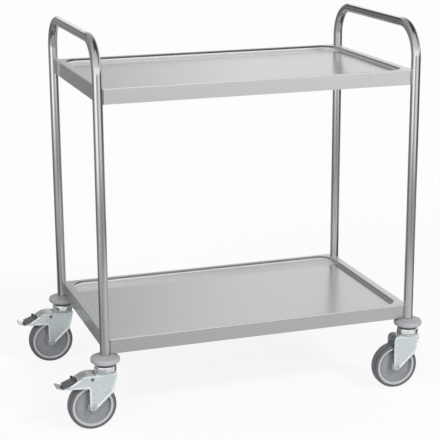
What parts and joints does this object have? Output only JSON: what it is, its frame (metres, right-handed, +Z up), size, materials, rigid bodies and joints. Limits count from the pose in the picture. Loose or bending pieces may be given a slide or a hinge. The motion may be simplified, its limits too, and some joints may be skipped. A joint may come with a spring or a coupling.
{
  "type": "serving cart",
  "caption": "Stainless steel serving cart: tubular end frames with push bars, shelves with sunk decks, round bumper discs and swivel casters, those at the left end with foot brakes.",
  "frame": {"origin": "on the floor, midway between the four leg axes", "axes": "+X along the shelves' length, away from the braked end; +Y across the cart, away from the front; +Z up"},
  "size_m": [1.0129, 0.583, 0.9975],
  "materials": {
    "polished_tube": "polished stainless steel tube",
    "satin_sheet": "satin stainless steel sheet",
    "weld_metal": "dressed stainless weld",
    "bright_zinc": "bright zinc plate",
    "plain_steel": "plain steel",
    "bumper_plastic": "soft grey plastic",
    "rim_plastic": "moulded grey plastic",
    "bush_plastic": "natural nylon",
    "grey_tyre": "solid grey rubber",
    "black_tread": "ribbed black rubber"
  },
  "bodies": {
    "cart_frame": {"left_end_frame": "polished_tube", "right_end_frame": "polished_tube", "top_shelf": "satin_sheet", "bottom_shelf": "satin_sheet", "shelf_welds": "weld_metal", "leg_plugs": "plain_steel", "stem_bolts": "plain_steel", "kingpins": "plain_steel", "front_left_bumper_disc": "bumper_plastic", "front_left_swivel_head": "bright_zinc", "rear_left_bumper_disc": "bumper_plastic", "rear_left_swivel_head": "bright_zinc", "front_right_bumper_disc": "bumper_plastic", "front_right_swivel_head": "bright_zinc", "rear_right_bumper_disc": "bumper_plastic", "rear_right_swivel_head": "bright_zinc"},
    "front_left_caster": {"front_left_ball_ring": "plain_steel", "front_left_fork": "bright_zinc", "front_left_axle_bolt": "bright_zinc", "front_left_axle_nut": "bright_zinc", "front_left_axle_sleeve": "plain_steel", "front_left_pivot_pin": "plain_steel"},
    "front_left_wheel": {"front_left_wheel_bush": "bush_plastic", "front_left_wheel_rim": "rim_plastic", "front_left_tyre": "grey_tyre"},
    "front_left_pedal": {"front_left_brake_pedal": "bright_zinc", "front_left_tread_pad": "black_tread", "front_left_brake_shoe": "plain_steel", "front_left_pedal_spring": "plain_steel"},
    "rear_left_caster": {"rear_left_ball_ring": "plain_steel", "rear_left_fork": "bright_zinc", "rear_left_axle_bolt": "bright_zinc", "rear_left_axle_nut": "bright_zinc", "rear_left_axle_sleeve": "plain_steel", "rear_left_pivot_pin": "plain_steel"},
    "rear_left_wheel": {"rear_left_wheel_bush": "bush_plastic", "rear_left_wheel_rim": "rim_plastic", "rear_left_tyre": "grey_tyre"},
    "rear_left_pedal": {"rear_left_brake_pedal": "bright_zinc", "rear_left_tread_pad": "black_tread", "rear_left_brake_shoe": "plain_steel", "rear_left_pedal_spring": "plain_steel"},
    "front_right_caster": {"front_right_ball_ring": "plain_steel", "front_right_fork": "bright_zinc", "front_right_axle_bolt": "bright_zinc", "front_right_axle_nut": "bright_zinc", "front_right_axle_sleeve": "plain_steel"},
    "front_right_wheel": {"front_right_wheel_bush": "bush_plastic", "front_right_wheel_rim": "rim_plastic", "front_right_tyre": "grey_tyre"},
    "rear_right_caster": {"rear_right_ball_ring": "plain_steel", "rear_right_fork": "bright_zinc", "rear_right_axle_bolt": "bright_zinc", "rear_right_axle_nut": "bright_zinc", "rear_right_axle_sleeve": "plain_steel"},
    "rear_right_wheel": {"rear_right_wheel_bush": "bush_plastic", "rear_right_wheel_rim": "rim_plastic", "rear_right_tyre": "grey_tyre"}
  },
  "joints": [
    {"name": "front_left_swivel", "type": "hinge", "parent": "cart_frame", "child": "front_left_caster", "pos_m": [-0.4225, -0.254, 0.15], "axis": [0, 0, 1], "continuous": true},
    {"name": "front_left_roll", "type": "hinge", "parent": "front_left_caster", "child": "front_left_wheel", "pos_m": [-0.4605, -0.254, 0.0625], "axis": [0, 1, 0], "continuous": true},
    {"name": "front_left_brake", "type": "hinge", "parent": "front_left_caster", "child": "front_left_pedal", "pos_m": [-0.4615, -0.254, 0.138], "axis": [0, -1, 0], "range_deg": [0, 9]},
    {"name": "rear_left_swivel", "type": "hinge", "parent": "cart_frame", "child": "rear_left_caster", "pos_m": [-0.4225, 0.254, 0.15], "axis": [0, 0, 1], "continuous": true},
    {"name": "rear_left_roll", "type": "hinge", "parent": "rear_left_caster", "child": "rear_left_wheel", "pos_m": [-0.4605, 0.254, 0.0625], "axis": [0, 1, 0], "continuous": true},
    {"name": "rear_left_brake", "type": "hinge", "parent": "rear_left_caster", "child": "rear_left_pedal", "pos_m": [-0.4615, 0.254, 0.138], "axis": [0, -1, 0], "range_deg": [0, 9]},
    {"name": "front_right_swivel", "type": "hinge", "parent": "cart_frame", "child": "front_right_caster", "pos_m": [0.4225, -0.254, 0.15], "axis": [0, 0, 1], "continuous": true},
    {"name": "front_right_roll", "type": "hinge", "parent": "front_right_caster", "child": "front_right_wheel", "pos_m": [0.3845, -0.254, 0.0625], "axis": [0, 1, 0], "continuous": true},
    {"name": "rear_right_swivel", "type": "hinge", "parent": "cart_frame", "child": "rear_right_caster", "pos_m": [0.4225, 0.254, 0.15], "axis": [0, 0, 1], "continuous": true},
    {"name": "rear_right_roll", "type": "hinge", "parent": "rear_right_caster", "child": "rear_right_wheel", "pos_m": [0.3845, 0.254, 0.0625], "axis": [0, 1, 0], "continuous": true}
  ]
}
